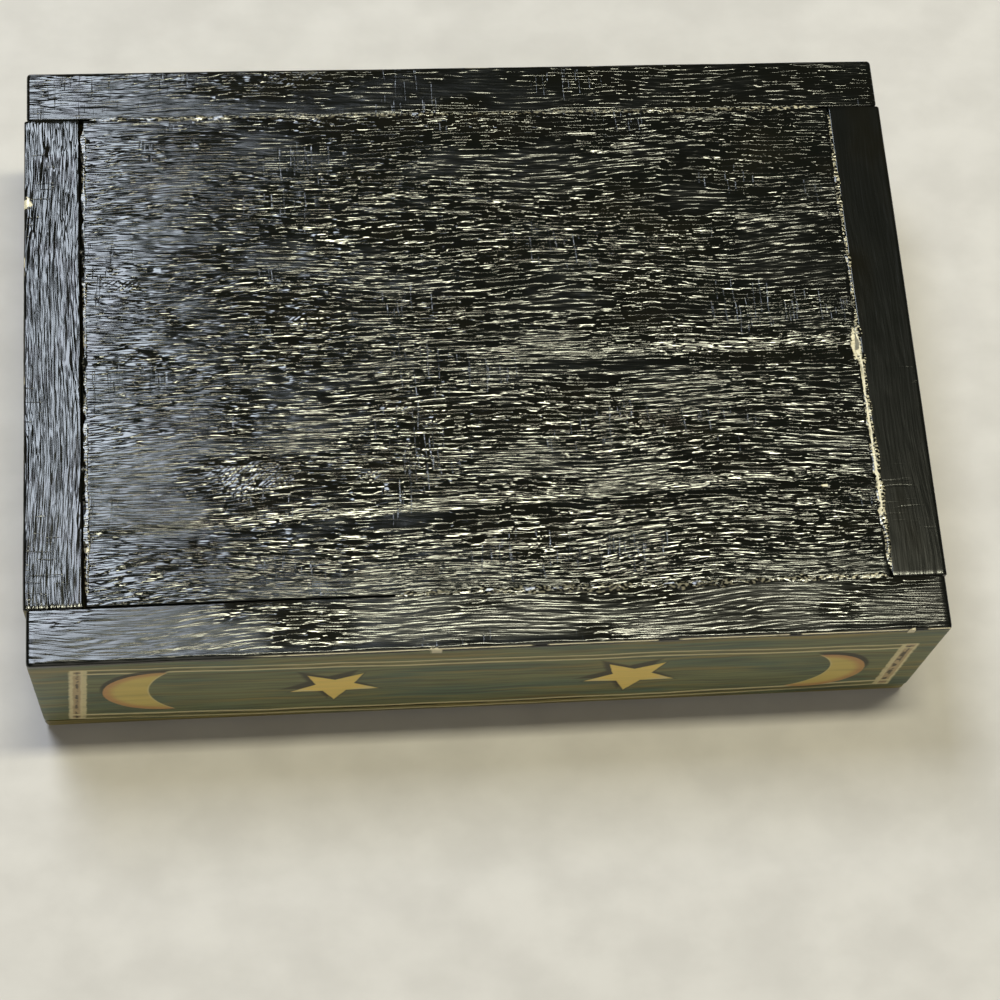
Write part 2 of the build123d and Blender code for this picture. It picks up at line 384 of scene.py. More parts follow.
def bare_wood(paint, along, across, seed):
    """Plain open wood: grain lines along the board, its colour, roughness and height."""
    paints = bpy.context.scene.keepsake_paints
    bend = paint.noise(along, across, 60.0, 22.0, seed) * 7.0
    rings = paint.noise(along, across + bend, 120.0, 1.7, seed + 1.0, 3.0)
    pores = paint.step(paint.noise(along, across + bend, 4.5, 0.32, seed + 2.0, 1.0), 0.6, 0.72)
    share = paint.step(rings, 0.34, 0.7) * 0.7 + pores * 0.3
    tone = paint.mix(share, paints.wood, paints.wood_dark)
    return tone, 0.62 + rings * 0.15, rings * 0.03 - pores * 0.05


def band(paint, offset, half_width, soft=0.25):
    """1 within half_width of a line, where offset is the distance from it."""
    return paint.step(abs(offset), half_width + soft, half_width - soft)


# Reach of a star's notches as a share of the reach of its tips
NOTCH_SHARE = 0.43


def star(paint, u, v, centre, radius, turn):
    """Signed distance to a five-pointed star: one folded sector, then the line from tip to notch."""
    notch = NOTCH_SHARE * radius
    sector = 2 * pi / 5
    du = u - centre[0]
    dv = v - centre[1]
    reach = paint.math("SQRT", du * du + dv * dv)
    angle = paint.math("ARCTAN2", du, dv) + (turn + 4 * pi + sector / 2)
    folded = abs(paint.math("FLOORED_MODULO", angle, sector) - sector / 2)
    tip = Vector((radius, 0.0))
    inner = Vector((notch * cos(sector / 2), notch * sin(sector / 2)))
    edge = (inner - tip).normalized()
    normal = Vector((edge.y, -edge.x))
    forward = reach * paint.math("COSINE", folded) - tip.x
    sideways = reach * paint.math("SINE", folded)
    return forward * normal.x + sideways * normal.y


def circle(paint, u, v, centre, radius):
    """Signed distance to a circle."""
    du = u - centre[0]
    dv = v - centre[1]
    return paint.math("SQRT", du * du + dv * dv) - radius


# Art on a long and on a short wall: each star's middle, reach and turn
STARS = {
    "x": (((-35.2, 23.8), 10.5, 0.0), ((32.6, 25.5), 11.0, 0.04)),
    "y": (((0.0, 24.6), 10.8, 0.05),),
}

# Crescents: side, then inset from that end, middle and radius of the outer and of the inner circle
MOONS = ((-1, 28.5, 22.6, 13.8, 46.2, 22.3, 21.3), (1, 25.8, 28.0, 11.9, 36.4, 26.1, 13.9))


# Border, in millimetres: the rows' middles below the base edge, the upper row's slope, the lower row's bow
# over its half length, the posts' middles from the ends, the left post's lean and the reach past the rows
UPPER_ROW = 9.2
UPPER_SLOPE = 0.0315
LOWER_ROW = 42.6
LOWER_BOW = 3.2
BOW_HALF_LENGTH = 95.0
LEFT_POST = 9.2
LEFT_LEAN = 0.08
LEAN_MIDDLE = 20.0
RIGHT_POST = 6.7
POST_REACH = 1.7
LOWER_REACH = 1.8

# Strength of the brown dashes between the lines
DASH_SHARE = 0.85


class WallArt:
    """The painted face: u runs along it to the right, v from the base edge; both in millimetres."""

    def __init__(self, paint, u, v, half_length, seed):
        self.paint = paint
        self.paints = bpy.context.scene.keepsake_paints
        self.u, self.v, self.half_length = u, v, half_length
        self.wobble = (paint.noise(u, v, 16.0, 40.0, seed) - 0.5) * 2.6
        self.shiver = (paint.noise(u, v, 2.2, 2.2, seed + 1.0) - 0.5) * 0.7
        self.strokes = paint.noise(u, v + self.wobble, 24.0, 1.3, seed + 2.0, 3.0)
        self.warm = paint.noise(u, v + self.wobble, 44.0, 3.0, seed + 3.0, 3.0)
        self.cool = paint.noise(u, v, 34.0, 9.0, seed + 4.0)
        self.fade = paint.noise(u, v, 7.0, 2.4, seed + 5.0, 3.0)
        self.dashes = paint.noise(u, v, 7.5, 1.2, seed + 6.0, 1.0)
        self.blots = paint.noise(u, v, 2.4, 3.0, seed + 7.0, 1.0)
        self.raised = self.strokes * ART_THICKNESS

    def ground(self):
        """Green brushed along the wall, with teal and olive strokes."""
        paint, paints, v = self.paint, self.paints, self.v
        tone = paint.mix(paint.step(self.cool, 0.42, 0.66), paints.green, paints.teal)
        margin = paint.most(paint.step(v, 40.0, 46.0), paint.step(v, 6.5, 3.0) * 0.35)
        olive_share = paint.step(self.warm + margin * 0.2, 0.48, 0.72)
        tone = paint.mix(olive_share, tone, paints.olive)
        return paint.mix(paint.step(self.strokes, 0.3, 0.72) * 0.55, tone, paints.dark)

    def border(self, tone):
        """Double pale lines with brown dashes between them, joined by two posts."""
        paint, paints, u, v = self.paint, self.paints, self.u, self.v
        bow = u / BOW_HALF_LENGTH
        upper = v - UPPER_ROW - u * UPPER_SLOPE - self.wobble * 0.5
        lower = v - LOWER_ROW + bow * bow * LOWER_BOW - self.wobble * 0.6
        left = u + self.half_length - LEFT_POST + (v - LEAN_MIDDLE) * LEFT_LEAN - self.shiver
        right = u - self.half_length + RIGHT_POST - self.shiver
        between_posts = paint.least(left + POST_REACH, POST_REACH - right)
        between_rows = paint.least(upper + POST_REACH, LOWER_REACH - lower)
        framed = paint.step(paint.least(between_posts, between_rows), -0.3, 0.3)
        lines = 0.0
        for offset, spread, width in (
            (upper, 1.45, 0.42),
            (lower, 1.55, 0.5),
            (left, 1.5, 0.7),
            (right, 1.6, 0.6),
        ):
            pair = paint.most(band(paint, offset + spread, width), band(paint, offset - spread, width))
            lines = paint.most(lines, pair * framed)
        rows = paint.least(paint.most(band(paint, upper, 1.0), band(paint, lower, 1.1)), framed)
        posts = paint.least(paint.most(band(paint, left, 1.3), band(paint, right, 1.3)), framed)
        tone = paint.mix(rows * (0.2 + self.fade * 0.5), tone, paints.olive)
        tone = paint.mix(posts * 0.6, tone, paints.cream)
        tone = paint.mix(posts * 0.3, tone, paints.blush)
        middles = paint.most(band(paint, upper - 0.2, 0.25), band(paint, lower + 0.3, 0.25)) * framed
        tone = paint.mix(middles * paint.step(self.dashes, 0.36, 0.52) * DASH_SHARE, tone, paints.dark)
        spots = paint.most(band(paint, left, 0.3), band(paint, right + 0.2, 0.5)) * posts
        tone = paint.mix(spots * paint.step(self.blots, 0.44, 0.54) * DASH_SHARE, tone, paints.dark)
        self.raised = self.raised + lines * LINE_THICKNESS
        return paint.mix(lines * (0.5 + paint.step(self.fade, 0.2, 0.5) * 0.4), tone, paints.cream)

    def moons(self, tone):
        """A crescent near each end, rosy outside, with a brown shade over its upper outer edge."""
        paint, paints, u, v = self.paint, self.paints, self.u, self.v
        for side, inset, middle, radius, inner_inset, inner_middle, inner_radius in MOONS:
            centre_u = side * (self.half_length - inset)
            hollow_u = side * (self.half_length - inner_inset)
            outer = circle(paint, u, v, (centre_u, middle), radius) + self.shiver * 0.4
            hollow = circle(paint, u, v, (hollow_u, inner_middle), inner_radius)
            shade_outer = circle(paint, u, v, (centre_u + side * 0.5, middle - 1.9), radius)
            shade_hollow = circle(paint, u, v, (hollow_u, inner_middle - 1.0), inner_radius)
            shade = paint.most(shade_outer, -1.0 * shade_hollow)
            upper_part = paint.step(v, middle + 4.0, middle - 6.0)
            tone = paint.mix(paint.step(shade, 0.4, -0.4) * upper_part * 0.92, tone, paints.dark)
            under = band(paint, hollow - 0.5, 0.25) * paint.step(outer, 1.0, -0.5)
            under = under * paint.step(v, middle, middle + 5)
            tone = paint.mix(under * 0.6, tone, paints.dark)
            mask = paint.step(paint.most(outer, -1.0 * hollow), 0.2, -0.2)
            rosy = paint.step(outer, -3.2, -0.5) * (0.5 + self.strokes * 0.4)
            moon_tone = paint.mix(paint.step(self.warm, 0.4, 0.8) * 0.5, paints.moon, paints.olive)
            moon_tone = paint.mix(rosy, moon_tone, paints.blush)
            moon_tone = paint.mix(band(paint, hollow - 0.1, 0.2) * 0.5, moon_tone, paints.cream)
            tone = paint.mix(mask, tone, moon_tone)
            self.raised = self.raised + mask * ART_THICKNESS
        return tone

    def stars(self, tone, stars):
        """Gold stars, pale along their lower sides, over brown shadows."""
        paint, paints, u, v = self.paint, self.paints, self.u, self.v
        for centre, radius, turn in stars:
            edge = star(paint, u, v, centre, radius, turn) + self.shiver * 0.4
            cast = star(paint, u, v, (centre[0] - 1.6, centre[1] - 2.4), radius * 1.02, turn)
            tone = paint.mix(paint.step(cast, 0.9, -0.5) * 0.88, tone, paints.dark)
            tone = paint.mix(band(paint, edge - 0.3, 0.15) * 0.5, tone, paints.dark)
            mask = paint.step(edge, 0.2, -0.2)
            low_side = paint.step(v, centre[1], centre[1] + 3.0)
            low_side = low_side * paint.step(abs(u - centre[0]), 3.0, 6.0)
            star_tone = paint.mix(paint.step(self.strokes, 0.3, 0.8) * 0.4, paints.gold, paints.moon)
            star_tone = paint.mix(band(paint, edge + 0.6, 0.35) * low_side * 0.8, star_tone, paints.cream)
            tone = paint.mix(mask, tone, star_tone)
            self.raised = self.raised + mask * ART_THICKNESS
        return tone


class Wall:
    """One wall: where it stands and how its rim is painted.

    axis is the one that it runs along, sign is -1 where u runs against it, and outside is the place of
    its outer face. texture scales the brushed relief, sleek goes to the black coat, wear_and_highlight
    sets how much shows of the pale line along its edge, which is partly worn paint and partly a painted
    highlight, and bead is the height of the paint along that edge in millimetres.
    """

    def __init__(self, node, axis, sign, outside, seed, texture, sleek, bead, wear_and_highlight):
        self.node, self.axis, self.sign, self.outside = node, axis, sign, outside
        self.seed, self.texture, self.sleek, self.bead, self.wear_and_highlight = seed, texture, sleek, bead, wear_and_highlight
        self.inward = -1 if outside > 0 else 1
        self.half_length = (LENGTH if axis == "x" else END_LENGTH) / 2


WALLS = (
    Wall("front_wall", "x", 1, FRONT, 60, texture=0.36, sleek=0.4, bead=0.15, wear_and_highlight=0.25),
    Wall("back_wall", "x", -1, BACK, 70, texture=0.75, sleek=0.3, bead=0.08, wear_and_highlight=0.07),
    Wall("left_end_wall", "y", -1, -END_OUTSIDE, 80, texture=1.0, sleek=0.4, bead=0.05, wear_and_highlight=0.05),
    Wall("right_end_wall", "y", 1, END_OUTSIDE, 90, texture=0.2, sleek=1.0, bead=0.03, wear_and_highlight=0.07),
)


def wall_finish(paint, wall):
    """A whole wall: painted outside, black rim with an uneven edge, bare wood inside and at the seam."""
    seed = float(wall.seed)
    along, across = (paint.x, paint.y) if wall.axis == "x" else (paint.y, paint.x)
    depth = (wall.outside - across) * -wall.inward
    u = along * wall.sign
    v = BASE - paint.z
    art = WallArt(paint, u, v, wall.half_length, seed)
    face_tone = art.stars(art.moons(art.border(art.ground())), STARS[wall.axis])
    face = (face_tone, ART_ROUGHNESS, art.raised)
    black_tone, black_roughness, black_height = black_coat(
        paint, along, across, seed + 10.0, wall.texture, wall.sleek
    )
    black = (black_tone, black_roughness, black_height + BLACK_THICKNESS)
    wood = bare_wood(paint, along, v + depth, seed + 20.0)
    slop = paint.noise(u, depth, 11.0, 60.0, seed + 30.0, 3.0) * 3.6 - 0.8
    slop = slop + paint.step(u, -40.0, -60.0) * 0.5
    blackened = paint.step(slop - v, -0.12, 0.12)
    inner_side = paint.step(depth, WALL - 0.9, WALL - 0.5) * paint.step(v, 5.2, 5.8)
    seam_side = paint.step(v, HEIGHT - 0.5, HEIGHT - 0.3) * paint.step(depth, 0.5, 1.1)
    bare = paint.most(inner_side, seam_side)
    rim = paint.most(blackened, paint.step(depth, 1.0, 1.5) * paint.step(v, 3.0, 2.0))
    tone, roughness, height = paint.blend(bare, paint.blend(rim, face, black), wood)
    # Pale line along the rim's outer edge, broken up by noise: partly worn paint, partly a painted highlight
    # along that edge
    edge_wear_and_highlight = band(paint, depth - 0.24, 0.1, 0.08) * paint.step(v, 0.9, 0.6)
    edge_wear_and_highlight = edge_wear_and_highlight * paint.step(u, -56.0, -46.0)
    edge_line_breaks = paint.noise(u, v, 14.0, 30.0, seed + 31.0, 4.0)
    edge_wear_and_highlight = edge_wear_and_highlight * paint.step(edge_line_breaks, 0.66 - wall.wear_and_highlight, 0.7 - wall.wear_and_highlight)
    # Primer shows at the chips and along that edge line, the line being partly a painted highlight
    worn = paint.most(chips(paint) * paint.step(v, 2.6, 1.6), edge_wear_and_highlight)
    tone = paint.mix(worn, tone, bpy.context.scene.keepsake_paints.primer)
    return paint.finish(tone, roughness, height - worn * WALL_CHIP_DEPTH)


def black_material(name, seed):
    """A piece that is black all over except for its chips: its paint, and colour, roughness and height."""
    paint = Paint(name)
    tone, roughness, height = black_coat(paint, paint.x, paint.y, seed)
    worn = chips(paint)
    tone = paint.mix(worn, tone, bpy.context.scene.keepsake_paints.primer)
    return paint, (tone, roughness + worn * CHIP_ROUGHNESS, height - worn * BASE_CHIP_DEPTH)


# Surface building

NOISE_TABLE = 256

# Grain of the modelled relief, each as millimetres along and across the brush
RELIEF_SWAY_GRAIN = (24, 19)
SWELL_GRAIN = (41, 17)
RIDGE_GRAIN = (6.5, 0.8)
BROAD_RIDGE_GRAIN = (8.0, 1.5)
PORE_GRAIN = (4.0, 0.75)
PRESENCE_GRAIN = (25, 13)

# Walls: the waves of their outer edges, how far the rim lies under the CAD face, the bead of paint along
# the edge, in millimetres, and the share of the relief that the outer face has
WAVE_GRAIN = (17, 30)
WAVE_HEIGHT = 0.12
WAVE_DEPTH = 3
RIM_SINK = 0.05
BEAD_INSET = 0.95
BEAD_WIDTH = 0.45
FACE_RELIEF_SHARE = 0.25

# Panel, in millimetres: how far it lies under the CAD face, how deep its two dark bands are sunk, and between
# which depths under the base its black paint ends
PANEL_SINK = 0.12
BAND_DEPTH = 0.5
BARE_FROM = 5.0
BARE_TO = 5.6


def lattice(u, v, length_u, length_v, seed):
    """Smooth noise from -1 to 1 whose grains are length_u by length_v.

    Seeded random values stand at whole numbers of grains and are blended by a smooth step.
    """
    table = np.random.default_rng(seed).uniform(-1.0, 1.0, (NOISE_TABLE, NOISE_TABLE))
    u, v = np.broadcast_arrays(np.asarray(u, float) / length_u, np.asarray(v, float) / length_v)
    column = np.floor(u).astype(int)
    row = np.floor(v).astype(int)
    share_u = u - column
    share_v = v - row
    share_u = share_u * share_u * (3 - 2 * share_u)
    share_v = share_v * share_v * (3 - 2 * share_v)
    sides = []
    for i in (0, 1):
        first, second = (table[(column + i) % NOISE_TABLE, (row + j) % NOISE_TABLE] for j in (0, 1))
        sides.append(first + (second - first) * share_v)
    return sides[0] + (sides[1] - sides[0]) * share_u


def wander(along, length, row, seed):
    """Smooth noise from -1 to 1 along one row of the lattice, its grains length long."""
    return lattice(along, row, length, 1.0, seed)


def brushed_relief(along, across, seed, texture=1.0):
    """Height of brushed paint over open grain: slow swell plus short lens-shaped ridges, less pores."""
    sizes = bpy.context.scene.keepsake_sizes
    swayed = across + 1.5 * lattice(along, across, *RELIEF_SWAY_GRAIN, seed)
    swell = lattice(along, across, *SWELL_GRAIN, seed + 1)
    ridges = lattice(along, swayed, *RIDGE_GRAIN, seed + 2)
    ridges += 0.8 * lattice(along, swayed, *BROAD_RIDGE_GRAIN, seed + 3)
    pores = np.clip(lattice(along, swayed, *PORE_GRAIN, seed + 4) - 0.35, 0, 1)
    presence = np.clip(0.7 + lattice(along, across, *PRESENCE_GRAIN, seed + 5), 0.15, 1.2)
    fine = ridges * sizes.ridge_height - pores * 1.6 * sizes.pore_depth
    return (swell * sizes.swell_height + fine * presence * texture) * PER_METRE


def rounded_drop(distance, radius):
    """How far an edge's quarter round lies below its face, at a distance in from the edge."""
    inward = np.clip(radius - distance, 0, radius)
    return radius - np.sqrt(radius * radius - inward * inward)


def places(low, high, step, radius):
    """Places from low to high about a step apart, crowded at both ends for the rounded edges."""
    lead = radius * np.array([0.0, 0.06, 0.22, 0.5, 1.0])
    count = max(2, int(round((high - low - 2 * radius) / step)) + 1)
    middle = np.linspace(low + radius, high - radius, count)[1:-1]
    return np.concatenate((low + lead, middle, high - lead[::-1]))


def grid_faces(rows, columns, wrapped=False):
    """Corner numbers of the faces of a grid; wrapped joins its last column to its first."""
    index = np.arange(rows * columns).reshape(rows, columns)
    if wrapped:
        index = np.concatenate((index, index[:, :1]), axis=1)
    corners = (index[:-1, :-1], index[:-1, 1:], index[1:, 1:], index[1:, :-1])
    return np.stack(corners, axis=-1).reshape(-1, 4)


def edge_ring(grid):
    """The outermost entries of a grid, once round."""
    return np.concatenate((grid[0], grid[1:, -1], grid[-1, -2::-1], grid[-2:0:-1, 0]))


def add_piece(name, points, faces, body, material, replaces=()):
    """Makes a mesh piece from points in millimetres, turns its faces outwards and puts it on its body."""
    mesh = bpy.data.meshes.new(name)
    mesh.from_pydata((points.reshape(-1, 3) / PER_METRE).tolist(), [], faces)
    working = bmesh.new()
    working.from_mesh(mesh)
    bmesh.ops.recalc_face_normals(working, faces=working.faces)
    working.to_mesh(mesh)
    working.free()
    mesh.polygons.foreach_set("use_smooth", np.ones(len(mesh.polygons), bool))
    mesh.materials.append(material)
    piece = bpy.data.objects.new(name, mesh)
    bpy.context.scene.collection.objects.link(piece)
    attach(piece, body)
    if replaces:
        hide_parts(*replaces)


def give_material(node, material):
    """Puts one material on a CAD node in place of its own."""
    node.data.materials.clear()
    node.data.materials.append(material)


def swept(loops):
    """Faces of a closed loop carried through stations, with a flat cap at each end."""
    stations, count = loops.shape[:2]
    faces = grid_faces(stations, count, wrapped=True).tolist()
    faces.append(list(range(count)))
    faces.append(list(range((stations - 1) * count, stations * count)))
    return faces


def wall_loop(radius, joint_radius, bevel_height):
    """A wall's section as depth from its outer face and height over the seam, once round from the seam."""
    turn = np.linspace(0, pi / 2, ROUND_STEPS + 1)[1:-1]
    outer_height = np.linspace(bevel_height, HEIGHT - radius, int(HEIGHT / FACE_STEP))
    round_depth = radius - radius * np.cos(turn)
    round_height = HEIGHT - radius + radius * np.sin(turn)
    rim_depth = np.linspace(radius, WALL - joint_radius, int(WALL / FINE_STEP))
    joint_depth = WALL - joint_radius + joint_radius * np.sin(turn)
    joint_height = HEIGHT - joint_radius + joint_radius * np.cos(turn)
    inner_height = np.linspace(HEIGHT - joint_radius, 0, int(HEIGHT / PLAIN_STEP))
    under_depth = np.linspace(WALL, 0, UNDER_STEPS + 1)[1:-1]
    rise = bevel_height * np.clip(1 - under_depth / (HINGE_INSET + 1e-6), 0, 1)
    runs = (
        (np.zeros_like(outer_height), outer_height),
        (round_depth, round_height),
        (rim_depth, np.full_like(rim_depth, HEIGHT)),
        (joint_depth, joint_height),
        (np.full_like(inner_height, WALL), inner_height),
        (under_depth, rise),
    )
    return np.concatenate([np.stack(run, -1) for run in runs])


def hinge_seat(depth, height, station):
    """Raises the back wall's seam side to the leaf's seat and the barrel's hollow at each hinge."""
    leaf_edge = BACK - box_mm("left_hinge_box_leaf")[0][1] + SEAT_FIT
    from_axis = depth - HINGE_INSET
    hollow = HINGE_Z - SEAM + np.sqrt(np.clip(BARREL_ROOM**2 - from_axis**2, 0, None))
    in_seat = (depth < leaf_edge) & (depth > HINGE_INSET - BARREL_ROOM)
    seat = np.where(in_seat, LEAF_THICKNESS, 0.0)
    cut = np.maximum(seat, np.where(abs(from_axis) < BARREL_ROOM, hollow, 0.0))
    low = height < HEIGHT / 2
    beside = np.zeros_like(station, bool)
    for side in SIDES:
        leaf_low, leaf_high = box_mm(f"{side}_hinge_box_leaf")
        beside |= (station > leaf_low[0] - SEAT_FIT) & (station < leaf_high[0] + SEAT_FIT)
    return np.where(low & beside & (depth < WALL), np.maximum(height, cut), height)


def wall_points(wall):
    """The wall's surface, as stations along it by points round its section, in millimetres.

    The section shrinks by a quarter round at both ends; relief raises the rim and the outer face,
    and an uneven bead of paint follows the outer edge of the rim.
    """
    sizes = bpy.context.scene.keepsake_sizes
    radius = sizes.edge_round * PER_METRE
    joint_radius = sizes.joint_round * PER_METRE
    end_radius = radius if wall.axis == "x" else joint_radius
    hinged = wall.node == "back_wall"
    bevel_height = HINGE_INSET * tan(STOP_BEVEL) if hinged else 0.0
    loop = wall_loop(radius, joint_radius, bevel_height)
    stations = places(-wall.half_length, wall.half_length, LONG_STEP, end_radius)
    if hinged:
        leaves = [box_mm(f"{side}_hinge_box_leaf") for side in SIDES]
        cuts = [end[0] + fit for leaf in leaves for end, fit in zip(leaf, (-SEAT_FIT, SEAT_FIT))]
        stations = np.sort(np.concatenate([stations] + [[cut - 0.01, cut + 0.01] for cut in cuts]))
    along, depth = np.meshgrid(stations, loop[:, 0], indexing="ij")
    height = np.broadcast_to(loop[:, 1], along.shape).copy()
    if hinged:
        height = hinge_seat(depth, height, along)
    drop = rounded_drop(wall.half_length - abs(along), end_radius)
    depth = drop + depth * (WALL - 2 * drop) / WALL
    height = drop + height * (HEIGHT - 2 * drop) / HEIGHT
    seed = wall.seed
    on_rim = np.clip((height - HEIGHT + radius) / radius, 0, 1)
    on_face = np.clip((radius - depth) / radius, 0, 1) * (1 - on_rim)
    height = height + on_rim * (brushed_relief(along, depth, seed, wall.texture) - RIM_SINK)
    wavy = lattice(along, height, *WAVE_GRAIN, seed + 9) * WAVE_HEIGHT
    height = height + on_rim * np.clip(1 - depth / WAVE_DEPTH, 0, 1) * wavy
    full = np.clip(0.75 + 0.9 * wander(along, 6.0, 0.4, seed + 11), 0.1, 1.2)
    middle = BEAD_INSET + 0.2 * wander(along, 4.0, 0.8, seed + 12)
    rounded = np.exp(-(((depth - middle) / BEAD_WIDTH) ** 2))
    height = height + on_rim * wall.bead * full * rounded
    face_relief = FACE_RELIEF_SHARE * brushed_relief(along, height, seed + 20, wall.texture)
    depth = depth - on_face * (face_relief + wavy)
    across = wall.outside + depth * wall.inward
    pair = (along, across) if wall.axis == "x" else (across, along)
    return np.stack((*pair, SEAM + height), -1)


# Operators

class KEEPSAKE_OT_panel(bpy.types.Operator):
    """Model the base panel with its brushed relief and worn joints"""

    bl_idname = "keepsake.panel"
    bl_label = "Base panel"

    def execute(self, context):
        sizes = context.scene.keepsake_sizes
        radius = sizes.joint_round * PER_METRE
        low = PANEL_LOW.copy()
        low[0] += sizes.left_gap * PER_METRE
        columns = places(low[0], PANEL_HIGH[0], LONG_STEP, radius)
        rows = places(low[1], PANEL_HIGH[1], FINE_STEP, radius)
        x, y = np.meshgrid(columns, rows)
        edge = np.minimum.reduce((x - low[0], PANEL_HIGH[0] - x, y - low[1], PANEL_HIGH[1] - y))
        relief = brushed_relief(x, y, 40) * np.clip(edge + 0.3, 0, 1)
        top = PANEL_HIGH[2] - rounded_drop(edge, radius) - PANEL_SINK + relief
        bands = np.exp(-(((y + 5 - 0.02 * x) / 2.0) ** 2)) * np.clip((x + 5) / 50, 0, 1)
        bands += np.exp(-(((y + 40 - 0.055 * x) / 1.9) ** 2)) * 0.7
        top = top - BAND_DEPTH * bands
        edge_sway = 0.14 * wander(y, 1.9, 0.0, 47) * np.exp(-(x - low[0]) / 1.5)
        surface = np.stack((x + edge_sway, y, top), -1)
        under = edge_ring(surface)
        under[:, 2] = low[2]
        border = edge_ring(np.arange(x.size).reshape(x.shape))
        lower = x.size + np.arange(len(under))
        skirt = np.stack((border, lower, np.roll(lower, -1), np.roll(border, -1)), -1)
        faces = grid_faces(*x.shape).tolist() + skirt.tolist() + [lower.tolist()]
        points = np.concatenate((surface.reshape(-1, 3), under))
        paint, black = black_material("black_base", 31.0)
        wood = bare_wood(paint, paint.x, paint.y, 33.0)
        inside = paint.step(paint.z, BASE - BARE_FROM, BASE - BARE_TO)
        material = paint.finish(*paint.blend(inside, black, wood))
        add_piece("base_panel", points, faces, "box", material, ["bottom_panel"])
        return {"FINISHED"}


class KEEPSAKE_OT_walls(bpy.types.Operator):
    """Model the four walls with rounded edges, paint and relief"""

    bl_idname = "keepsake.walls"
    bl_label = "Walls"

    def execute(self, context):
        for wall in WALLS:
            points = wall_points(wall)
            finish = wall_finish(Paint(f"{wall.node}_paint"), wall)
            name = f"{wall.node}_painted"
            add_piece(name, points, swept(points), "box", finish, [wall.node])
        return {"FINISHED"}


# Crusts, in millimetres: how far over the joint their middles lie, how deep they start in the base, how far
# apart their stations are and how long their ends taper, and where along them their share of size changes
CRUST_INSET = 0.15
LEFT_INSET = 0.7
CRUST_SINK = 0.15
CRUST_STEP = 0.16
CRUST_TAPER = 2.0
CRUST_CHANGE = 3.0
CRUST_POINTS = 12


class KEEPSAKE_OT_crusts(bpy.types.Operator):
    """Model the ridges of dried paint along the joints of the panel"""

    bl_idname = "keepsake.crusts"
    bl_label = "Paint crusts"

    def execute(self, context):
        paint, (tone, roughness, height) = black_material("crust_paint", 51.0)
        specks = paint.step(paint.noise(paint.x, paint.y, 0.9, 0.5, 52.0), 0.5, 0.58)
        specks = specks * (0.3 + paint.step(paint.x, 60.0, 85.0) * 0.45)
        tone = paint.mix(specks, tone, context.scene.keepsake_paints.primer)
        material = paint.finish(tone, roughness, height * 0.5)
        low, high = PANEL_LOW, PANEL_HIGH
        for name, middle, start, end, seed, share, turned in (
            ("front_joint_crust", low[1] - CRUST_INSET, -22.0, high[0], 101, (1.0, 1.0), False),
            ("right_joint_crust", high[0] + CRUST_INSET, low[1] + 1, high[1] - 1, 105, (0.8, 0.35), True),
            ("left_joint_crust", low[0] + LEFT_INSET, low[1] + 2, high[1] - 2, 109, (0.25, 0.25), True),
            ("back_joint_crust", high[1] + CRUST_INSET, low[0] + 2, high[0] - 2, 113, (0.3, 0.3), False),
        ):
            along = np.arange(start, end, CRUST_STEP)
            self.crust(name, along, middle, seed, material, np.where(along < CRUST_CHANGE, *share), turned)
        return {"FINISHED"}

    def crust(self, name, along, middle, seed, material, share, turned):
        """A flat-topped ridge whose width, height, middle and lean wander, cracked where it falls away."""
        tallest = bpy.context.scene.keepsake_sizes.crust_height * PER_METRE
        rise = tallest * np.clip(0.5 + 0.9 * wander(along, 3.1, 0.3, seed), 0.05, 1.2)
        rise = rise * np.clip(0.65 + wander(along, 9.0, 0.7, seed + 1), 0.3, 1) * share
        width = (0.95 + 0.5 * wander(along, 2.3, 0.2, seed + 2)) * (0.4 + 0.6 * share)
        centre = middle + (0.35 * wander(along, 2.1, 0.5, seed + 3)) * share
        lean = 0.11 + 0.13 * wander(along, 1.7, 0.9, seed + 4)
        from_start, to_end = (along - along[0]) / CRUST_TAPER, (along[-1] - along) / CRUST_TAPER
        ends = np.clip(from_start, 0.02, 1) * np.clip(to_end, 0.02, 1)
        offset = np.cos(np.linspace(0, pi, CRUST_POINTS))
        across = (width * ends)[:, None] * offset
        crown = 1 - abs(offset) ** 3
        up = BASE - CRUST_SINK + crown * ((rise * ends)[:, None] + lean[:, None] * across)
        across = across + centre[:, None]
        lengthways = np.broadcast_to(along[:, None], across.shape)
        points = np.stack((across, lengthways, up) if turned else (lengthways, across, up), -1)
        add_piece(name, points, swept(points), "box", material)


class KEEPSAKE_OT_lid(bpy.types.Operator):
    """Paint the lid outside and leave its inner face bare"""

    bl_idname = "keepsake.lid"
    bl_label = "Lid"

    def execute(self, context):
        paint = Paint("lid_paint")
        reach_x = LENGTH / 2 - abs(paint.x)
        reach_y = DEPTH / 2 - abs(paint.y)
        nearest = paint.least(reach_x, reach_y)
        at_end = paint.math("GREATER_THAN", reach_y, reach_x)
        facing_x = paint.math("SIGN", paint.x)
        facing_y = paint.math("SIGN", paint.y)
        u = at_end * paint.y * facing_x - (1.0 - at_end) * paint.x * facing_y
        half_length = LENGTH / 2 + at_end * (DEPTH - LENGTH) / 2
        art = WallArt(paint, u, BASE - paint.z + nearest, half_length, 100.0)
        face_tone = art.border(art.ground())
        wood = bare_wood(paint, paint.x, paint.y, 120.0)
        ragged = paint.noise(paint.x, paint.y, 3.0, 3.0, 121.0) * 0.8
        top = paint.step(paint.z, LID_TOP - 1.4, LID_TOP - 1.2)
        inner = top * paint.step(nearest - ragged, 0.6, 0.9)
        finish = paint.blend(inner, (face_tone, ART_ROUGHNESS, art.raised), wood)
        give_material(frame["nodes"]["lid_board"], paint.finish(*finish))
        return {"FINISHED"}


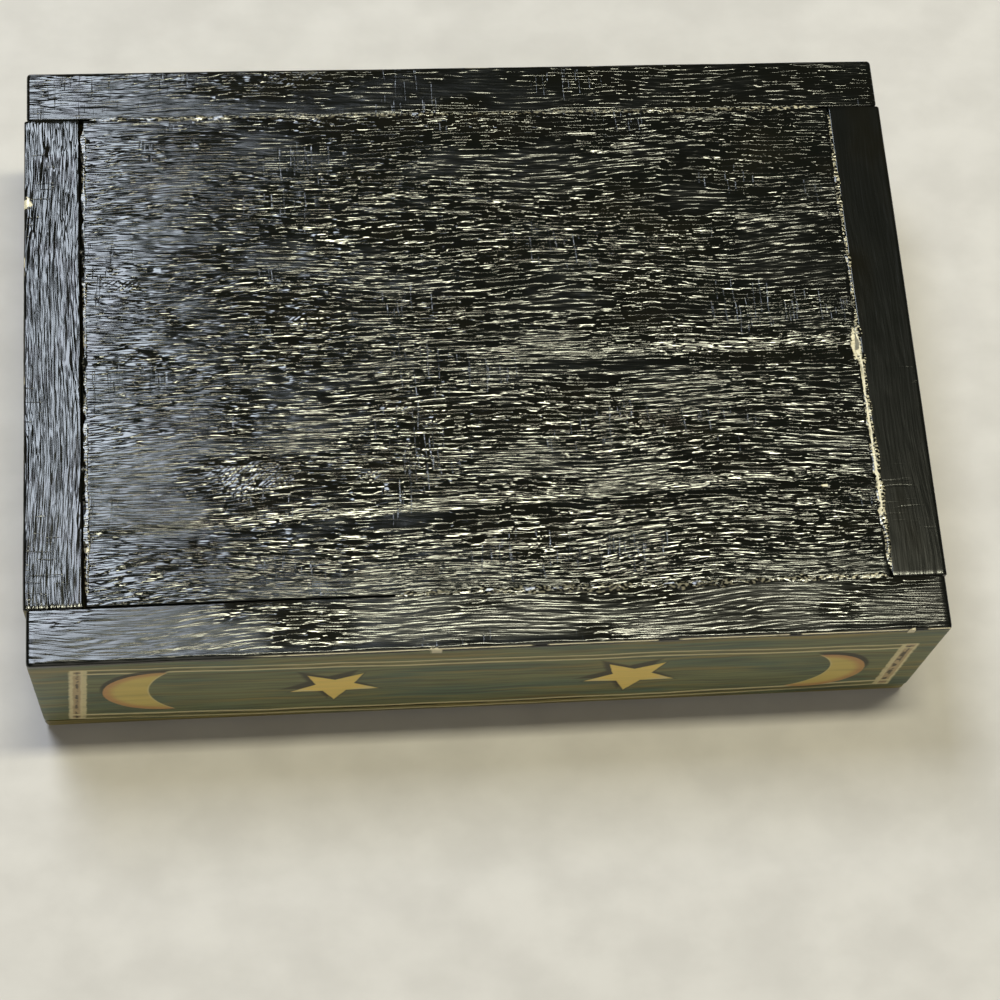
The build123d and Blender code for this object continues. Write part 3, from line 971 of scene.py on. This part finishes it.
class KEEPSAKE_OT_metal(bpy.types.Operator):
    """Finish the brass hinges and screws and the steel panel pins"""

    bl_idname = "keepsake.metal"
    bl_label = "Hinges and pins"

    def execute(self, context):
        brass = self.metal("worn_brass", context.scene.keepsake_paints.brass, srgb(98, 66, 34), 0.3)
        steel = self.metal("pin_steel", srgb(150, 150, 152), srgb(92, 78, 66), 0.4)
        for name, node in frame["nodes"].items():
            if "hinge" in name or "nails" in name:
                give_material(node, steel if "nails" in name else brass)
        return {"FINISHED"}

    def metal(self, name, bright, stained, smooth):
        """Metal with long fine scratches and dull stains."""
        paint = Paint(name)
        stains = paint.noise(paint.x, paint.y + paint.z, 3.0, 2.2, 71.0, 4.0)
        scratches = paint.noise(paint.x, paint.y + paint.z, 5.0, 0.12, 72.0)
        tone = paint.mix(paint.step(stains, 0.48, 0.78), bright, stained)
        roughness = smooth + stains * 0.25
        return paint.finish(tone, roughness, scratches * 0.01, metallic=1.0)


# Camera fitted to the box's corners in the photograph: its place in metres, azimuth, elevation and roll in
# degrees, the sensor's width in millimetres and the nearest distance seen in metres
CAMERA_PLACE = (-0.05245, -0.22733, 0.53511)
CAMERA_AZIMUTH = -16.287
CAMERA_ELEVATION = 68.071
CAMERA_ROLL = 13.162
SENSOR_WIDTH = 36.0
CLIP_START = 0.01

# Lamps: azimuth and elevation in degrees; distance, size along the box and across it in metres; watts; colour
LAMPS = (
    ("ceiling", 116.0, 81.4, 1.2, 0.5, 0.09, 9.0, (0.98, 0.96, 0.72)),
    ("window", -149.0, 60.0, 1.35, 0.42, 0.6, 12.5, (0.80, 0.89, 1.0)),
    ("front_fill", 8.0, 38.0, 1.5, 1.0, 1.0, 3.0, (1.0, 0.97, 0.82)),
)

# Floor: half its side and its height in metres, and its roughness
FLOOR_REACH = 4.0
FLOOR_LEVEL = -0.0002
FLOOR_ROUGHNESS = 0.9

# Light of the surround, the backdrop's colour, and how far out the lamps' light drops, in millimetres
SURROUND = (0.058, 0.059, 0.055)
BACKDROP = srgb(212, 210, 200)
LIGHT_DROP = 1200.0


def towards(azimuth, elevation):
    """The direction to something at an azimuth and elevation, azimuth 0 being in front."""
    turn, rise = radians(azimuth), radians(elevation)
    return Vector((sin(turn) * cos(rise), -cos(turn) * cos(rise), sin(rise)))


class KEEPSAKE_OT_stage(bpy.types.Operator):
    """Add the pale floor, the soft lamps and the camera at the photograph's angle"""

    bl_idname = "keepsake.stage"
    bl_label = "Stage"

    def execute(self, context):
        self.floor()
        self.lamps()
        self.world()
        self.camera(context)
        context.scene.view_settings.view_transform = "Standard"
        return {"FINISHED"}

    def floor(self):
        """A wide flat floor under the lid.

        To the camera it stays pale far out: what the lamps lose there, 1 - 1 / (1 + (distance / drop)^2)^2,
        comes back as a glow that lights nothing.
        """
        turns = ((-1, -1), (1, -1), (1, 1), (-1, 1))
        corners = [(x * FLOOR_REACH, y * FLOOR_REACH, FLOOR_LEVEL) for x, y in turns]
        mesh = bpy.data.meshes.new("floor")
        mesh.from_pydata(corners, [], [(0, 1, 2, 3)])
        paint = Paint("floor_cloth")
        mottle = paint.step(paint.noise(paint.x, paint.y, 18.0, 14.0, 81.0, 6.0), 0.25, 0.75)
        tone = paint.mix(mottle, srgb(200, 194, 190), srgb(212, 206, 202))
        share = (paint.x * paint.x + paint.y * paint.y) / LIGHT_DROP**2 + 1.0
        seen = paint.node("ShaderNodeLightPath", output="Is Camera Ray")
        glow = paint.mix((1.0 - 1.0 / (share * share)) * seen, (0.0, 0.0, 0.0), BACKDROP)
        mesh.materials.append(paint.finish(tone, FLOOR_ROUGHNESS, glow=glow))
        floor = bpy.data.objects.new("floor", mesh)
        bpy.context.scene.collection.objects.link(floor)

    def lamps(self):
        """Area lamps turned to the box, their first side along it."""
        aim = Vector((0.0, 0.0, BASE / PER_METRE))
        for name, azimuth, elevation, distance, size, size_across, watts, tint in LAMPS:
            light = bpy.data.lights.new(name, "AREA")
            light.shape = "RECTANGLE"
            light.size, light.size_y = size, size_across
            light.energy = watts
            light.color = tint
            lamp = bpy.data.objects.new(name, light)
            direction = towards(azimuth, elevation)
            along = Vector((0, 1, 0)).cross(direction).normalized()
            turned = Matrix((along, direction.cross(along), direction)).transposed().to_4x4()
            lamp.matrix_world = Matrix.Translation(aim + direction * distance) @ turned
            bpy.context.scene.collection.objects.link(lamp)

    def world(self):
        """A dim even surround that the camera sees as the pale backdrop."""
        world = bpy.data.worlds.new("surround")
        world.use_nodes = True
        nodes, links = world.node_tree.nodes, world.node_tree.links
        mix = nodes.new("ShaderNodeMix")
        mix.data_type = "RGBA"
        mix.inputs[6].default_value = (*SURROUND, 1.0)
        mix.inputs[7].default_value = (*BACKDROP, 1.0)
        links.new(nodes.new("ShaderNodeLightPath").outputs["Is Camera Ray"], mix.inputs[0])
        links.new(mix.outputs[2], nodes["Background"].inputs["Color"])
        nodes["Background"].inputs["Strength"].default_value = 1.0
        bpy.context.scene.world = world

    def camera(self, context):
        """The camera, placed by its three angles."""
        back = towards(CAMERA_AZIMUTH, CAMERA_ELEVATION)
        right = Vector((0, 0, 1)).cross(back).normalized()
        up = back.cross(right)
        roll = radians(CAMERA_ROLL)
        axis_x = right * cos(roll) + up * sin(roll)
        axis_y = up * cos(roll) - right * sin(roll)
        data = bpy.data.cameras.new("camera")
        data.lens = context.scene.keepsake_sizes.lens * PER_METRE
        data.sensor_width = SENSOR_WIDTH
        data.clip_start = CLIP_START
        camera = bpy.data.objects.new("camera", data)
        turned = Matrix((axis_x, axis_y, back)).transposed().to_4x4()
        camera.matrix_world = Matrix.Translation(CAMERA_PLACE) @ turned
        context.scene.collection.objects.link(camera)
        context.scene.camera = camera


OPERATORS = (
    KEEPSAKE_OT_stage,
    KEEPSAKE_OT_panel,
    KEEPSAKE_OT_walls,
    KEEPSAKE_OT_crusts,
    KEEPSAKE_OT_lid,
    KEEPSAKE_OT_metal,
)


class KEEPSAKE_PT_sidebar(bpy.types.Panel):
    """Lists the steps that build the box's looks"""

    bl_idname = "KEEPSAKE_PT_sidebar"
    bl_label = "Keepsake Box"
    bl_space_type = "VIEW_3D"
    bl_region_type = "UI"
    bl_category = "Keepsake Box"

    def draw(self, context):
        for group in (context.scene.keepsake_sizes, context.scene.keepsake_paints):
            for name in group.__annotations__:
                self.layout.prop(group, name)
        for operator in OPERATORS:
            self.layout.operator(operator.bl_idname)


CLASSES = (KeepsakePaints, KeepsakeSizes) + OPERATORS + (KEEPSAKE_PT_sidebar,)


def register():
    for cls in CLASSES:
        bpy.utils.register_class(cls)
    bpy.types.Scene.keepsake_paints = bpy.props.PointerProperty(type=KeepsakePaints)
    bpy.types.Scene.keepsake_sizes = bpy.props.PointerProperty(type=KeepsakeSizes)


def unregister():
    del bpy.types.Scene.keepsake_sizes
    del bpy.types.Scene.keepsake_paints
    for cls in reversed(CLASSES):
        bpy.utils.unregister_class(cls)


def main():
    register()
    for operator in OPERATORS:
        group, name = operator.bl_idname.split(".")
        getattr(getattr(bpy.ops, group), name)()


if __name__ == "__main__":
    main()
